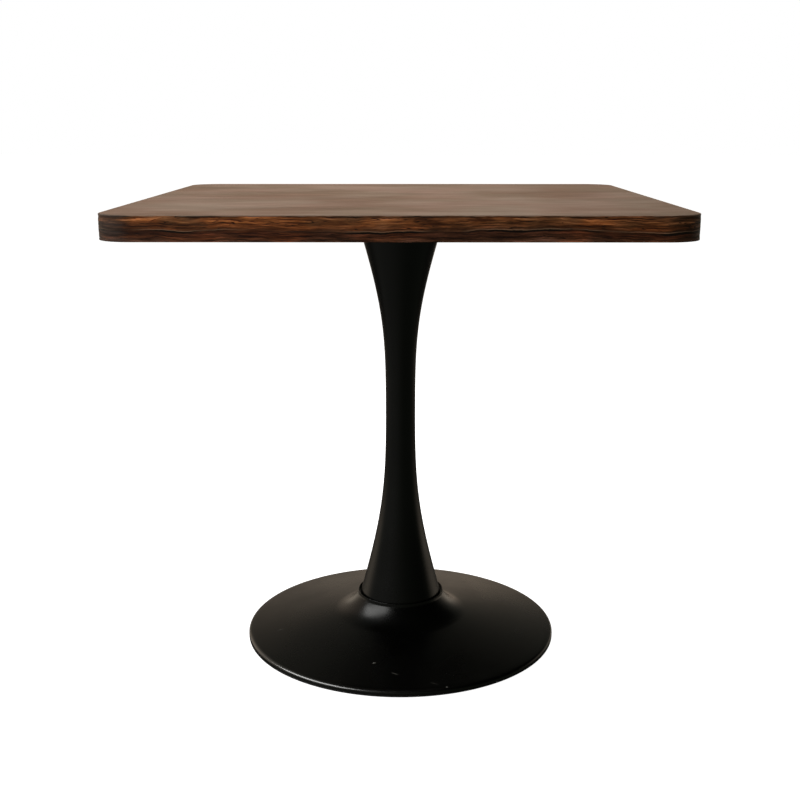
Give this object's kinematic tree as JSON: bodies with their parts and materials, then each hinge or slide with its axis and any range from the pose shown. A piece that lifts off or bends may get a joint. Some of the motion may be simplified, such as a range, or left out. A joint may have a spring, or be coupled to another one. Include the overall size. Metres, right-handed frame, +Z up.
{
  "type": "bistro table",
  "caption": "Square cafe table: wood-decor top with rounded corners on a black hourglass column and a round dished base with screw levelling glides.",
  "frame": {"origin": "centre of the base on the floor, on the pedestal's axis", "axes": "+Z up along the pedestal, +X along the grain of the top, -Y towards the viewer"},
  "size_m": [0.8, 0.8, 0.75],
  "materials": {
    "wood_decor": "satin laminate with straight brown grain along X",
    "wood_edge": "satin rustic red-brown grain, darker towards the lower edge",
    "chipboard": "raw particle board",
    "backing": "matt dark brown balancing sheet",
    "black_coat": "satin black powder coat",
    "black_rubber": "matt black moulded",
    "black_iron": "rough casting, thin black paint",
    "zinc": "bright zinc plate",
    "nylon": "matt black moulded nylon"
  },
  "bodies": {
    "table": {"top_laminate": "wood_decor", "edge_band": "wood_edge", "top_core": "chipboard", "backing_laminate": "backing", "mounting_spider": "black_coat", "spider_hub": "black_coat", "column_shell": "black_coat", "base_dish": "black_coat", "rim_trim_ring": "black_rubber", "ballast_plate": "black_iron", "neck_support_tube": "black_iron", "wood_screw_1": "zinc", "wood_screw_2": "zinc", "wood_screw_3": "zinc", "wood_screw_4": "zinc", "wood_screw_5": "zinc", "wood_screw_6": "zinc", "wood_screw_7": "zinc", "wood_screw_8": "zinc", "upper_centring_disc": "zinc", "lower_centring_disc": "zinc", "tie_rod": "zinc", "tie_rod_washer": "zinc", "tie_rod_spring_washer": "zinc", "tie_rod_nut": "zinc"},
    "pad_1": {"glide_pad_1": "nylon"},
    "stem_1": {"glide_stem_1": "zinc"},
    "pad_2": {"glide_pad_2": "nylon"},
    "stem_2": {"glide_stem_2": "zinc"},
    "pad_3": {"glide_pad_3": "nylon"},
    "stem_3": {"glide_stem_3": "zinc"},
    "pad_4": {"glide_pad_4": "nylon"},
    "stem_4": {"glide_stem_4": "zinc"}
  },
  "joints": [
    {"name": "glide_1_travel", "type": "slide", "parent": "table", "child": "pad_1", "axis": [0, 0, -1], "range_m": [-0.002, 0.004]},
    {"name": "glide_1_turn", "type": "hinge", "parent": "pad_1", "child": "stem_1", "pos_m": [0.13435, 0.13435, 0], "axis": [0, 0, -1], "range_deg": [-576, 1152]},
    {"name": "glide_2_travel", "type": "slide", "parent": "table", "child": "pad_2", "axis": [0, 0, -1], "range_m": [-0.002, 0.004]},
    {"name": "glide_2_turn", "type": "hinge", "parent": "pad_2", "child": "stem_2", "pos_m": [-0.13435, 0.13435, 0], "axis": [0, 0, -1], "range_deg": [-576, 1152]},
    {"name": "glide_3_travel", "type": "slide", "parent": "table", "child": "pad_3", "axis": [0, 0, -1], "range_m": [-0.002, 0.004]},
    {"name": "glide_3_turn", "type": "hinge", "parent": "pad_3", "child": "stem_3", "pos_m": [-0.13435, -0.13435, 0], "axis": [0, 0, -1], "range_deg": [-576, 1152]},
    {"name": "glide_4_travel", "type": "slide", "parent": "table", "child": "pad_4", "axis": [0, 0, -1], "range_m": [-0.002, 0.004]},
    {"name": "glide_4_turn", "type": "hinge", "parent": "pad_4", "child": "stem_4", "pos_m": [0.13435, -0.13435, 0], "axis": [0, 0, -1], "range_deg": [-576, 1152]}
  ],
  "couplings": [
    {"joint": "glide_1_travel", "follows": "glide_1_turn", "m_per_rad": 0.00019894},
    {"joint": "glide_2_travel", "follows": "glide_2_turn", "m_per_rad": 0.00019894},
    {"joint": "glide_3_travel", "follows": "glide_3_turn", "m_per_rad": 0.00019894},
    {"joint": "glide_4_travel", "follows": "glide_4_turn", "m_per_rad": 0.00019894}
  ]
}
